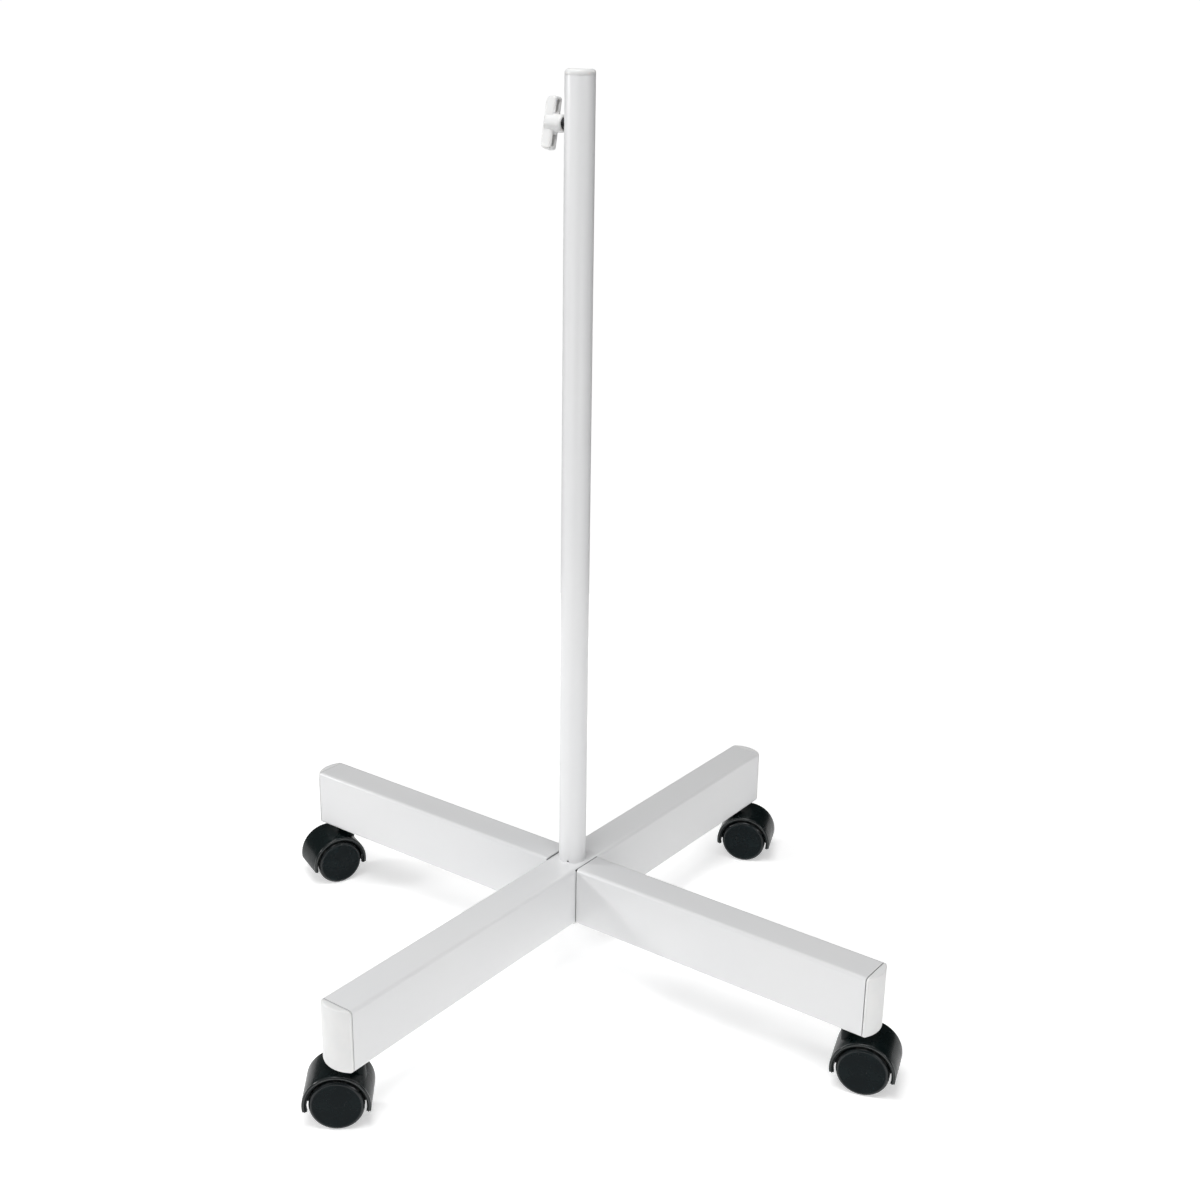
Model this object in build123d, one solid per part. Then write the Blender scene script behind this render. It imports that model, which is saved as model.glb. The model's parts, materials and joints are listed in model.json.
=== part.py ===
from build123d import *
import math
import os

# Rolling drip stand: a cross of two rectangular tubes on four twin-wheel casters, a round mast
# on the crossing, and a wing screw near the mast's open top that clamps the upper pole.
# Millimetres. The mast's axis is Z and the floor is z = 0. The long leg runs along Y and the
# two side legs along X, so the wing screw, on the -X side, is in line with the side legs.

# ---------------------------------------------------------------- driving dimensions

LEG_WIDTH = 30.0
LEG_HEIGHT = 50.0
LEG_WALL = 1.5
LEG_CORNER = 3.0
SHARP_CORNER = 0.5            # least corner radius of an outline inside the tube
LEG_UNDERSIDE = 51.0          # floor to the underside of the legs
LONG_REACH = 270.0            # mast axis to each end of the long leg's tube
SIDE_REACH = 277.0            # mast axis to the outer end of each side leg's tube

CAP_LIP = 1.0                 # straight part of an end cap outside the tube
CAP_BULGE = 5.7               # further rise of the cap's curved face at its middle
CAP_EDGE = 1.4
CAP_PLUG = 8.0                # depth of the cap inside the tube
CAP_WALL = 2.0

MAST_DIAMETER = 22.0
MAST_WALL = 1.5
MAST_TOP = 717.0              # floor to the top of the mast's rim
VENT_DIAMETER = 1.8
VENT_ABOVE_LEG = 1.6
VENT_DIRECTION = -72.0        # degrees from +X, seen from above

POLE_BORE = 16.2              # for a 16 mm upper pole
BUSH_LENGTH = 62.0
RIM_HEIGHT = 4.2              # the bush's collar above the mast tube
RIM_SHOULDER = 2.6

SCREW_BELOW_TOP = 37.5
SCREW_THREAD = 8.0
SCREW_TURN = 12.0             # degrees that the wings lean from upright, towards +Y
STUD_TIP = 9.35               # distances along the screw's axis are from the mast's axis
STUD_END = 25.0
KNOB_START = 13.6
KNOB_HUB = 12.7
HUB_END = 28.4                # the hub stops just inside the wings' outer edge
WING_SPAN = 37.4
WING_START = 21.0
WING_END = 30.0
WING_THICKNESS = 8.6
WING_CORNER = 3.6
WING_ROUNDING = 1.6
PAD_FACE = 8.3

CASTER_INSET = 16.0           # end of a leg's tube to the caster's swivel axis
TRAIL = 13.0                  # swivel axis to axle
WHEEL_RADIUS = 20.0
WHEEL_WIDTH = 10.0
WHEEL_OUTSIDE = 17.8          # caster's middle plane to a wheel's outer face
HOOD_HALF_WIDTH = 17.9
HOOD_RADIUS = 24.8
HOOD_WALL = 2.0
HOOD_RIM_INSIDE = 21.3        # radius of the hood's side openings, round the wheels
HOOD_OVERHANG = 13.7          # degrees that the hood reaches below the axle on each side
AXLE_DIAMETER = 5.0
PIVOT_DIAMETER = 8.0
STEM_THREAD = 10.0

# Leg that each caster sits under: angle of the leg, reach of the leg's tube, and the direction
# in which the caster trails at rest, all angles in degrees from +X.
CASTERS = {
    "front": (-90.0, LONG_REACH, -140.8),
    "right": (0.0, SIDE_REACH, 18.3),
    "left": (180.0, SIDE_REACH, -114.3),
    "back": (90.0, LONG_REACH, 22.1),
}

FIXED_GAP = 0.05              # between two fixed pieces, one inside the other
RUNNING_GAP = 0.06            # radial clearance of a shaft that turns in its hole
END_GAP = 0.2                 # past the end of a pin in a blind hole, or beside a ring in its groove

# ---------------------------------------------------------------- places that follow

LEG_TOP = LEG_UNDERSIDE + LEG_HEIGHT
LEG_MIDDLE = LEG_UNDERSIDE + LEG_HEIGHT / 2
MAST_RADIUS = MAST_DIAMETER / 2
MAST_BORE_RADIUS = MAST_RADIUS - MAST_WALL
TUBE_TOP = MAST_TOP - RIM_HEIGHT
SCREW_HEIGHT = MAST_TOP - SCREW_BELOW_TOP
SCREW_PLANE = Plane(
    origin=(0, 0, SCREW_HEIGHT),
    x_dir=(0, math.sin(math.radians(SCREW_TURN)), math.cos(math.radians(SCREW_TURN))),
    z_dir=(-1, 0, 0),
)

parts = {}


def rod(radius, start, end):
    """A round bar on the Z axis from start to end."""
    return Pos(0, 0, (start + end) / 2) * Cylinder(radius, end - start)


def ring(outer, inner, start, end):
    """A round tube on the Z axis from start to end."""
    return rod(outer, start, end) - rod(inner, start, end)


# ---------------------------------------------------------------- legs

MAST_BOLT = 10.0
MAST_BOLT_HOLE = 10.5
INSERT_BODY = 13.0
INSERT_HOLE = INSERT_BODY + 2 * FIXED_GAP


def leg_section(inset):
    """The tube's outline across the leg, a distance inside its outer face."""
    corner = max(LEG_CORNER - inset, SHARP_CORNER)
    return RectangleRounded(LEG_WIDTH - 2 * inset, LEG_HEIGHT - 2 * inset, corner)


def along_leg(start):
    """The plane across a leg that lies along +X, at a distance from the mast's axis."""
    return Plane(origin=(start, 0, LEG_MIDDLE), x_dir=(0, 1, 0), z_dir=(1, 0, 0))


def leg_tube(start, end):
    wall = leg_section(0) - leg_section(LEG_WALL)
    return extrude(along_leg(start) * wall, end - start)


def stem_hole(distance):
    """A hole through the leg's lower wall for a caster's threaded insert."""
    low = LEG_UNDERSIDE - 1
    return Pos(distance, 0, 0) * rod(INSERT_HOLE / 2, low, LEG_UNDERSIDE + LEG_WALL + 1)


def make_legs():
    long_leg = leg_tube(-LONG_REACH, LONG_REACH)
    for side in (-1, 1):
        long_leg -= stem_hole(side * (LONG_REACH - CASTER_INSET))
    long_leg = Rot(0, 0, 90) * long_leg
    long_leg -= rod(MAST_BOLT_HOLE / 2, LEG_UNDERSIDE - 1, LEG_TOP + 1)
    parts["long_leg"] = long_leg

    side_leg = leg_tube(LEG_WIDTH / 2, SIDE_REACH) - stem_hole(SIDE_REACH - CASTER_INSET)
    parts["side_leg_right"] = side_leg
    parts["side_leg_left"] = Rot(0, 0, 180) * side_leg


def end_cap():
    """A plastic cap for a tube that ends at x = 0: a curved head outside and a hollow plug inside."""
    head_length = CAP_LIP + CAP_BULGE
    half_width = LEG_WIDTH / 2
    arc_radius = (half_width**2 + CAP_BULGE**2) / (2 * CAP_BULGE)
    head = extrude(along_leg(0) * leg_section(0), head_length)
    arc = Pos(head_length - arc_radius, 0, LEG_MIDDLE) * Cylinder(arc_radius, LEG_HEIGHT)
    lip = Pos(CAP_LIP / 2, 0, LEG_MIDDLE) * Box(CAP_LIP, LEG_WIDTH, LEG_HEIGHT)
    head = head & (arc + lip)
    outer_face = head.faces().filter_by(GeomType.CYLINDER).sort_by(Axis.X)[-1]
    head = fillet(outer_face.edges(), CAP_EDGE)
    outline = LEG_WALL + FIXED_GAP
    plug = leg_section(outline) - leg_section(outline + CAP_WALL)
    return head + extrude(along_leg(-CAP_PLUG) * plug, CAP_PLUG)


def make_end_caps():
    cap = end_cap()
    for name, (angle, reach, _) in CASTERS.items():
        parts["end_cap_" + name] = Rot(0, 0, angle) * Pos(reach, 0, 0) * cap


# ---------------------------------------------------------------- mast

FOOT_PLUG_LENGTH = 26.0
BOLT_HEAD_HEIGHT = 6.4
BOLT_HEAD_ACROSS = 16.0
BOLT_SOCKET_ACROSS = 6.0
WASHER_THICKNESS = 2.0
WASHER_DIAMETER = 21.0
SPACER_DIAMETER = 16.0
BOLT_HEAD_CHAMFER = 0.8
BOLT_SHORT_OF_PLUG = 2.0


def make_mast():
    tube = ring(MAST_RADIUS, MAST_BORE_RADIUS, LEG_TOP, TUBE_TOP)
    tube -= SCREW_PLANE * rod(INSERT_RADIUS + FIXED_GAP, 0, MAST_DIAMETER)
    vent = Plane(origin=(0, 0, LEG_TOP + VENT_ABOVE_LEG), x_dir=(0, 0, 1), z_dir=(1, 0, 0))
    tube -= Rot(0, 0, VENT_DIRECTION) * (vent * rod(VENT_DIAMETER / 2, 0, MAST_DIAMETER))
    parts["mast_tube"] = tube


def make_mast_fixing():
    """The bolt that holds the mast down, from under the crossing into a plug in the mast's foot."""
    parts["mast_foot_plug"] = ring(
        MAST_BORE_RADIUS - FIXED_GAP,
        MAST_BOLT / 2 + FIXED_GAP,
        LEG_TOP + VENT_ABOVE_LEG + VENT_DIAMETER,
        LEG_TOP + FOOT_PLUG_LENGTH,
    )
    parts["crossing_spacer"] = ring(
        SPACER_DIAMETER / 2,
        MAST_BOLT_HOLE / 2,
        LEG_UNDERSIDE + LEG_WALL,
        LEG_TOP - LEG_WALL,
    )
    washer_low = LEG_UNDERSIDE - WASHER_THICKNESS
    parts["mast_bolt_washer"] = ring(
        WASHER_DIAMETER / 2, MAST_BOLT_HOLE / 2, washer_low, LEG_UNDERSIDE
    )
    head_low = washer_low - BOLT_HEAD_HEIGHT
    head = rod(BOLT_HEAD_ACROSS / 2, head_low, washer_low)
    socket = RegularPolygon(BOLT_SOCKET_ACROSS / 2, 6, major_radius=False)
    head -= extrude(Pos(0, 0, head_low) * socket, BOLT_HEAD_HEIGHT / 2)
    lower_rim = head.edges().group_by(Axis.Z)[0].filter_by(GeomType.CIRCLE)
    head = chamfer(lower_rim, BOLT_HEAD_CHAMFER)
    shank = rod(MAST_BOLT / 2, washer_low, LEG_TOP + FOOT_PLUG_LENGTH - BOLT_SHORT_OF_PLUG)
    parts["mast_bolt"] = head + shank


# ---------------------------------------------------------------- mast top and wing screw

INSERT_RADIUS = 5.5
INSERT_INSIDE = 8.5
PAD_RADIUS = 3.6
PAD_THICKNESS = 1.0
SPIGOT_RADIUS = 1.5
SPIGOT_LENGTH = 2.7
POCKET_WIDTH = 3.4
POCKET_DEPTH = 6.0
POCKET_INSIDE = 7.6           # knob's axis to the near end of a wing's pocket
POCKET_OUTSIDE = 16.4
HUB_OUTER_ROUNDING = 1.8
HUB_INNER_ROUNDING = 0.5


def make_mast_bush():
    """The plastic sleeve in the mast's mouth, with a rounded collar above the tube."""
    collar = rod(MAST_RADIUS, TUBE_TOP, MAST_TOP)
    collar = fillet(collar.edges().sort_by(Axis.Z)[-1], RIM_SHOULDER)
    bush = collar + rod(MAST_BORE_RADIUS - FIXED_GAP, MAST_TOP - BUSH_LENGTH, TUBE_TOP)
    bush -= rod(POLE_BORE / 2, MAST_TOP - BUSH_LENGTH, MAST_TOP)
    bush -= SCREW_PLANE * rod(INSERT_RADIUS + FIXED_GAP, 0, MAST_DIAMETER)
    parts["mast_bush"] = bush


def make_screw():
    insert = SCREW_PLANE * ring(
        INSERT_RADIUS, SCREW_THREAD / 2 + RUNNING_GAP, INSERT_INSIDE, MAST_DIAMETER
    )
    within_mast = Pos(0, 0, SCREW_HEIGHT) * Cylinder(MAST_RADIUS, MAST_DIAMETER)
    parts["clamp_thread_insert"] = insert & within_mast

    pad = rod(PAD_RADIUS, PAD_FACE, PAD_FACE + PAD_THICKNESS)
    pad += rod(SPIGOT_RADIUS, PAD_FACE, PAD_FACE + PAD_THICKNESS + SPIGOT_LENGTH)
    parts["clamp_pad"] = SCREW_PLANE * pad

    stud = rod(SCREW_THREAD / 2, STUD_TIP, STUD_END)
    stud -= rod(SPIGOT_RADIUS + RUNNING_GAP, STUD_TIP, STUD_TIP + SPIGOT_LENGTH + END_GAP)
    parts["clamp_stud"] = SCREW_PLANE * stud

    parts["wing_knob"] = SCREW_PLANE * wing_knob()


def wing_knob():
    """A moulded wing knob on the Z axis, wings along X, hollow on the side that faces the mast."""
    wing_length = WING_END - WING_START
    outline = RectangleRounded(WING_SPAN, wing_length, WING_CORNER)
    standing = Plane(
        origin=(0, WING_THICKNESS / 2, (WING_START + WING_END) / 2),
        x_dir=(1, 0, 0),
        z_dir=(0, -1, 0),
    )
    wings = extrude(standing * outline, WING_THICKNESS)
    wings = fillet(wings.edges().filter_by(Plane.XZ), WING_ROUNDING)
    hub = rod(KNOB_HUB / 2, KNOB_START, HUB_END)
    hub = fillet(hub.edges().sort_by(Axis.Z)[-1], HUB_OUTER_ROUNDING)
    hub = fillet(hub.edges().sort_by(Axis.Z)[0], HUB_INNER_ROUNDING)
    knob = wings + hub
    pocket_length = POCKET_OUTSIDE - POCKET_INSIDE
    for side in (-1, 1):
        pocket = Box(pocket_length, POCKET_WIDTH, POCKET_DEPTH)
        pocket_middle = side * (POCKET_INSIDE + POCKET_OUTSIDE) / 2
        knob -= Pos(pocket_middle, 0, WING_START + POCKET_DEPTH / 2) * pocket
    knob -= rod(SCREW_THREAD / 2 + FIXED_GAP, KNOB_START, STUD_END + END_GAP)
    return knob


# ---------------------------------------------------------------- casters

INSERT_FLANGE = 18.0
INSERT_FLANGE_THICKNESS = 1.0
INSERT_LENGTH = 17.0
STEM_FLANGE = 16.0
STEM_FLANGE_THICKNESS = 2.6
STEM_LENGTH = 15.0            # threaded part above the flange
BOSS_GAP = 0.5                # between the stem's flange and the hood's boss
BOSS_DIAMETER = 14.0
BOSS_BOTTOM = 17.0
BOSS_ROUNDING = 1.0
PIVOT_BOTTOM = 22.0
PIN_END_GAP = 0.5
CLIP_HEIGHT = 28.0
CLIP_THICKNESS = 1.0
CLIP_RADIUS = 4.5
CLIP_MOUTH = 3.0              # opening in the spring ring
CLIP_ROOM = 0.35              # free space round the spring ring inside the hood
STEM_CHAMFER = 1.0
PIN_CHAMFER = 0.8
GROOVE_RADIUS = 3.3
WEB_THICKNESS = 5.0
AXLE_BOSS_RADIUS = 6.0
AXLE_HALF_LENGTH = 15.0
AXLE_END_GAP = 0.3
WHEEL_EDGE = 2.0              # rounding between the wheel's face and its tread
WHEEL_DOME = 0.7
WHEEL_CHAMFER = 1.0
WHEEL_RIM = 2.6
WHEEL_HUB_RADIUS = 5.6
WHEEL_DISC = 3.4
RIM_WIDTH = 3.2
RIM_ROUNDING = 2.2
BEAD_RADIUS = 0.75

FLANGE_TOP = LEG_UNDERSIDE - INSERT_FLANGE_THICKNESS
FLANGE_LOW = FLANGE_TOP - STEM_FLANGE_THICKNESS
BOSS_TOP = FLANGE_LOW - BOSS_GAP


def axle_plane():
    """Plane whose normal is the axle, at the wheels' centre; its X is along the trail, Y is up."""
    return Plane(origin=(TRAIL, 0, WHEEL_RADIUS), x_dir=(1, 0, 0), z_dir=(0, -1, 0))


def caster_insert():
    body = rod(INSERT_BODY / 2, FLANGE_TOP, FLANGE_TOP + INSERT_LENGTH)
    flange = rod(INSERT_FLANGE / 2, FLANGE_TOP, LEG_UNDERSIDE)
    return body + flange - rod(STEM_THREAD / 2 + FIXED_GAP, FLANGE_TOP, LEG_TOP)


def caster_stem():
    """Threaded stem above a hexagon flange, and the plain pin below it that the hood swivels on."""
    thread = rod(STEM_THREAD / 2, FLANGE_TOP, FLANGE_TOP + STEM_LENGTH)
    thread = chamfer(thread.edges().sort_by(Axis.Z)[-1], STEM_CHAMFER)
    hexagon = RegularPolygon(STEM_FLANGE / 2, 6, major_radius=False)
    flange = extrude(Pos(0, 0, FLANGE_LOW) * hexagon, STEM_FLANGE_THICKNESS)
    pin = rod(PIVOT_DIAMETER / 2, PIVOT_BOTTOM, FLANGE_LOW)
    pin = chamfer(pin.edges().sort_by(Axis.Z)[0], PIN_CHAMFER)
    groove_top = CLIP_HEIGHT + CLIP_THICKNESS + END_GAP
    pin -= ring(PIVOT_DIAMETER, GROOVE_RADIUS, CLIP_HEIGHT, groove_top)
    return thread + flange + pin


def stem_clip():
    """Open spring ring in the pin's groove that keeps the hood on its stem."""
    clip_low = CLIP_HEIGHT + END_GAP / 2
    clip = ring(CLIP_RADIUS, GROOVE_RADIUS + FIXED_GAP, clip_low, clip_low + CLIP_THICKNESS)
    mouth = Box(CLIP_RADIUS, CLIP_MOUTH, CLIP_MOUTH)
    return clip - Pos(CLIP_RADIUS, 0, clip_low + CLIP_THICKNESS / 2) * mouth


def hood_section():
    """The hood's wall in a plane through the axle: X outward from the axle, Y along it."""
    wall_middle = HOOD_RADIUS - HOOD_WALL / 2
    face = HOOD_HALF_WIDTH - BEAD_RADIUS
    section = Pos(wall_middle, 0) * Rectangle(HOOD_WALL, 2 * (face - RIM_WIDTH / 2))
    rim_height = HOOD_RADIUS - HOOD_RIM_INSIDE
    rim = Pos(HOOD_RADIUS - rim_height / 2, face - RIM_WIDTH / 2) * Rectangle(rim_height, RIM_WIDTH)
    outer_corner = rim.vertices().sort_by(lambda v: v.X + v.Y)[-1]
    rim = fillet(outer_corner, RIM_ROUNDING)
    rim += Pos(HOOD_RIM_INSIDE + BEAD_RADIUS, face) * Circle(BEAD_RADIUS)
    return section + rim + mirror(rim, Plane.XZ)


def hood_arch():
    """The half-round cover across both wheels, with a thick rounded rim and a bead at each side."""
    start = math.radians(-HOOD_OVERHANG)
    outward = (math.cos(start), 0, math.sin(start))
    tip_plane = Plane(
        origin=(0, 0, 0), x_dir=outward, z_dir=(math.sin(start), 0, -math.cos(start))
    )
    sweep_angle = 180 + 2 * HOOD_OVERHANG
    arch = revolve(tip_plane * hood_section(), Axis((0, 0, 0), (0, -1, 0)), sweep_angle)
    return Pos(TRAIL, 0, WHEEL_RADIUS) * arch


def caster_hood():
    """Arch, web, stem boss and axle boss as one moulding, bored for the pin, clip and axle."""
    web_radius = HOOD_RADIUS - HOOD_WALL / 2
    web_disc = axle_plane() * rod(web_radius, -WEB_THICKNESS / 2, WEB_THICKNESS / 2)
    half_space = Box(4 * HOOD_RADIUS, LEG_WIDTH, 2 * HOOD_RADIUS)
    web_low = WHEEL_RADIUS - AXLE_BOSS_RADIUS
    web = web_disc & (Pos(TRAIL, 0, web_low + HOOD_RADIUS) * half_space)
    boss_half = WHEEL_OUTSIDE - WHEEL_WIDTH - BOSS_GAP
    axle_boss = axle_plane() * rod(AXLE_BOSS_RADIUS, -boss_half, boss_half)
    stem_boss = rod(BOSS_DIAMETER / 2, BOSS_BOTTOM, BOSS_TOP)
    stem_boss = fillet(stem_boss.edges().filter_by(GeomType.CIRCLE), BOSS_ROUNDING)
    hood = hood_arch() + web + axle_boss + stem_boss
    hood -= axle_plane() * rod(AXLE_DIAMETER / 2 + FIXED_GAP, -LEG_WIDTH, LEG_WIDTH)
    hood -= rod(PIVOT_DIAMETER / 2 + RUNNING_GAP, PIVOT_BOTTOM - PIN_END_GAP, BOSS_TOP)
    room_low = CLIP_HEIGHT - CLIP_ROOM
    room_high = CLIP_HEIGHT + CLIP_THICKNESS + 2 * CLIP_ROOM
    hood -= rod(CLIP_RADIUS + CLIP_ROOM, room_low, room_high)
    return hood


def caster_wheel():
    """A plain moulded wheel, hollow on its inner side; its outer face has a slight dome."""
    inner = WHEEL_OUTSIDE - WHEEL_WIDTH
    recess_end = WHEEL_OUTSIDE - WHEEL_DISC
    bore = AXLE_DIAMETER / 2 + RUNNING_GAP
    bore_end = AXLE_HALF_LENGTH + AXLE_END_GAP
    face_edge = (WHEEL_RADIUS - WHEEL_EDGE, WHEEL_OUTSIDE - WHEEL_DOME)
    tread_edge = (WHEEL_RADIUS, WHEEL_OUTSIDE - WHEEL_DOME - WHEEL_EDGE)
    corner = WHEEL_EDGE * math.sqrt(0.5)
    corner_middle = (face_edge[0] + corner, tread_edge[1] + corner)
    middle = face_edge[0] / 2
    outline = [
        ThreePointArc((0, WHEEL_OUTSIDE), (middle, WHEEL_OUTSIDE - WHEEL_DOME / 4), face_edge),
        ThreePointArc(face_edge, corner_middle, tread_edge),
        Polyline(
            tread_edge,
            (WHEEL_RADIUS, inner + WHEEL_CHAMFER),
            (WHEEL_RADIUS - WHEEL_CHAMFER, inner),
            (WHEEL_RADIUS - WHEEL_RIM, inner),
            (WHEEL_RADIUS - WHEEL_RIM, recess_end),
            (WHEEL_HUB_RADIUS, recess_end),
            (WHEEL_HUB_RADIUS, inner),
            (bore, inner),
            (bore, bore_end),
            (0, bore_end),
            (0, WHEEL_OUTSIDE),
        ),
    ]
    section = make_face(outline)
    # The section's second coordinate is the distance along the axle.
    wheel = revolve(section, Axis.Y)
    return Pos(TRAIL, 0, WHEEL_RADIUS) * wheel


def make_casters():
    insert = caster_insert()
    stem = caster_stem()
    clip = stem_clip()
    hood = caster_hood()
    axle = axle_plane() * rod(AXLE_DIAMETER / 2, -AXLE_HALF_LENGTH, AXLE_HALF_LENGTH)
    wheel = caster_wheel()
    inserts, stems, clips = [], [], []
    for name, (leg_angle, reach, trail_angle) in CASTERS.items():
        distance = reach - CASTER_INSET
        x = distance * math.cos(math.radians(leg_angle))
        y = distance * math.sin(math.radians(leg_angle))
        upright = Pos(x, y, 0) * Rot(0, 0, leg_angle)
        trailing = Pos(x, y, 0) * Rot(0, 0, trail_angle)
        inserts.append(upright * insert)
        stems.append(upright * stem)
        clips.append(upright * clip)
        parts["caster_hood_" + name] = trailing * hood
        parts["caster_axle_" + name] = trailing * axle
        parts["caster_wheel_" + name + "_a"] = trailing * wheel
        parts["caster_wheel_" + name + "_b"] = trailing * mirror(wheel, Plane.XZ)
    parts["caster_thread_inserts"] = Compound(inserts)
    parts["caster_stems"] = Compound(stems)
    parts["caster_stem_clips"] = Compound(clips)


make_legs()
make_end_caps()
make_mast()
make_mast_fixing()
make_mast_bush()
make_screw()
make_casters()

os.makedirs("parts", exist_ok=True)
for node, shape in parts.items():
    export_step(shape, "parts/" + node + ".step")
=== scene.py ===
"""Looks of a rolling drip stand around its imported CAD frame.

The long leg, the mast's tube and the fixings are the CAD nodes with finished materials. The side
legs, the end caps, the mast's collar, the wing knob, its threaded stud, and the casters' hoods and
wheels are modelled here in full detail and stand for their CAD nodes. Their shapes are given in
millimetres; the finishes, the floor, the lights and the camera are in metres.
"""

import json
import math

import bmesh
import bpy
from mathutils import Matrix, Vector


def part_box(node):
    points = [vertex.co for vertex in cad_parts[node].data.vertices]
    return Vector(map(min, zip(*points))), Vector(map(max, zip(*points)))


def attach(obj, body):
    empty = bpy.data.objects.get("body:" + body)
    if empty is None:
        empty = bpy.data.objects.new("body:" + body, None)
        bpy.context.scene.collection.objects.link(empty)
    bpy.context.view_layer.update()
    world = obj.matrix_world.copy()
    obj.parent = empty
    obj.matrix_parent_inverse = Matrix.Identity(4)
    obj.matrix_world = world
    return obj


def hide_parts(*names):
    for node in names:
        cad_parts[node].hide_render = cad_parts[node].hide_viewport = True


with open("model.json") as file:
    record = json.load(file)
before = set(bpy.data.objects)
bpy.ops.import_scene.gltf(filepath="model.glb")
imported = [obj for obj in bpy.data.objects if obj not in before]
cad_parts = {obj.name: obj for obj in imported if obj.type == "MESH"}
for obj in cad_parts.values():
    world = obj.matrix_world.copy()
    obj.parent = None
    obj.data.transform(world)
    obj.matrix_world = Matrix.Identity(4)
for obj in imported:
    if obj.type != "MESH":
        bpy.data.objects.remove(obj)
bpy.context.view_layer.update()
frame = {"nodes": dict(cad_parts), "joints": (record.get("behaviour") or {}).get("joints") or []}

MM = 0.001
CORNERS = ("front", "right", "left", "back")
JOINTS = {joint["name"]: joint for joint in frame["joints"]}

# ---------------------------------------------------------------- meshes


def link(name, mesh, material):
    """A new object for a mesh, in the scene, with one material."""
    mesh.materials.clear()
    mesh.materials.append(material)
    obj = bpy.data.objects.new(name, mesh)
    bpy.context.scene.collection.objects.link(obj)
    return obj


def mesh_from(name, points, faces):
    """A closed mesh in metres from points in millimetres, with its normals outward."""
    mesh = bpy.data.meshes.new(name)
    mesh.from_pydata([Vector(point) * MM for point in points], [], faces)
    work = bmesh.new()
    work.from_mesh(mesh)
    bmesh.ops.recalc_face_normals(work, faces=work.faces)
    work.to_mesh(mesh)
    work.free()
    return mesh


def smooth(mesh, sharp_above):
    """Smooth shading, with edges above an angle in degrees left sharp."""
    mesh.shade_smooth()
    mesh.set_sharp_from_angle(angle=math.radians(sharp_above))


def arc(centre, radius, start, end, steps):
    """Points on an arc in a plane, angles in degrees from the first coordinate's axis."""
    points = []
    for step in range(steps + 1):
        angle = math.radians(start + (end - start) * step / steps)
        points.append((centre[0] + radius * math.cos(angle), centre[1] + radius * math.sin(angle)))
    return points


def bridge(ring_a, ring_b):
    """Quads between two rings of point numbers; a ring of one point makes a fan."""
    count = max(len(ring_a), len(ring_b))
    faces = []
    for i in range(count):
        j = (i + 1) % count
        corners = [ring_a[i % len(ring_a)], ring_a[j % len(ring_a)]]
        corners += [ring_b[j % len(ring_b)], ring_b[i % len(ring_b)]]
        faces.append(tuple(dict.fromkeys(corners)))
    return faces


def turned(name, outline, steps=96):
    """An outline of (radius, height) points turned about Z. It starts and ends on the axis, or
    it closes on itself."""
    points, rings = [], []
    for radius, height in outline:
        count = 1 if radius == 0 else steps
        rings.append(list(range(len(points), len(points) + count)))
        for step in range(count):
            angle = 2 * math.pi * step / steps
            points.append((radius * math.cos(angle), radius * math.sin(angle), height))
    faces = []
    pairs = list(zip(rings, rings[1:]))
    if outline[0][0] > 0:
        pairs.append((rings[-1], rings[0]))
    for ring_a, ring_b in pairs:
        faces += bridge(ring_a, ring_b)
    return mesh_from(name, points, faces)


def block(name, low, high):
    """A box between two corners."""
    xs, ys, zs = zip(low, high)
    points = [(x, y, z) for x in xs for y in ys for z in zs]
    faces = [(0, 1, 3, 2), (4, 6, 7, 5), (0, 4, 5, 1), (2, 3, 7, 6), (0, 2, 6, 4), (1, 5, 7, 3)]
    return mesh_from(name, points, faces)


def round_bar(name, radius, start, end, edge=0.4, steps=64):
    """A round bar on Z with rounded ends."""
    outline = [(0, start)]
    outline += arc((radius - edge, start + edge), edge, -90, 0, 4)
    outline += arc((radius - edge, end - edge), edge, 0, 90, 4)
    outline.append((0, end))
    return turned(name, outline, steps)


def applied(obj):
    """The object's mesh with its modifiers applied."""
    depsgraph = bpy.context.evaluated_depsgraph_get()
    mesh = bpy.data.meshes.new_from_object(obj.evaluated_get(depsgraph))
    old = obj.data
    obj.modifiers.clear()
    obj.data = mesh
    bpy.data.meshes.remove(old)
    return mesh


def combined(mesh, steps):
    """A mesh joined with or cut by others in turn: steps are (operation, mesh, matrix)."""
    body = bpy.data.objects.new("combine_body", mesh)
    bpy.context.scene.collection.objects.link(body)
    for operation, other, matrix in steps:
        tool = bpy.data.objects.new("combine_tool", other)
        tool.matrix_world = matrix
        bpy.context.scene.collection.objects.link(tool)
        modifier = body.modifiers.new("combine", "BOOLEAN")
        modifier.operation = operation
        modifier.solver = "EXACT"
        modifier.object = tool
        bpy.context.view_layer.update()
        applied(body)
        bpy.data.objects.remove(tool)
    result = body.data
    bpy.data.objects.remove(body)
    return result


# ---------------------------------------------------------------- materials

# Near-black painted shade laid into the open joints of the legs and caps, where shade falls.
SEAM_PAINTED_SHADE = (0.045, 0.045, 0.047)
SEAM_PAINTED_SHADE_FADE = 0.00008          # half the width of the painted shade's soft edge, in metres


def range_map(tree, source, low, high, at_low, at_high):
    """The source's range low to high mapped to at_low to at_high, and held outside it."""
    remap = tree.nodes.new("ShaderNodeMapRange")
    remap.interpolation_type = "SMOOTHSTEP"
    limits = {"From Min": low, "From Max": high, "To Min": at_low, "To Max": at_high}
    for key, value in limits.items():
        remap.inputs[key].default_value = value
    tree.links.new(source, remap.inputs["Value"])
    return remap.outputs["Result"]


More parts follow.
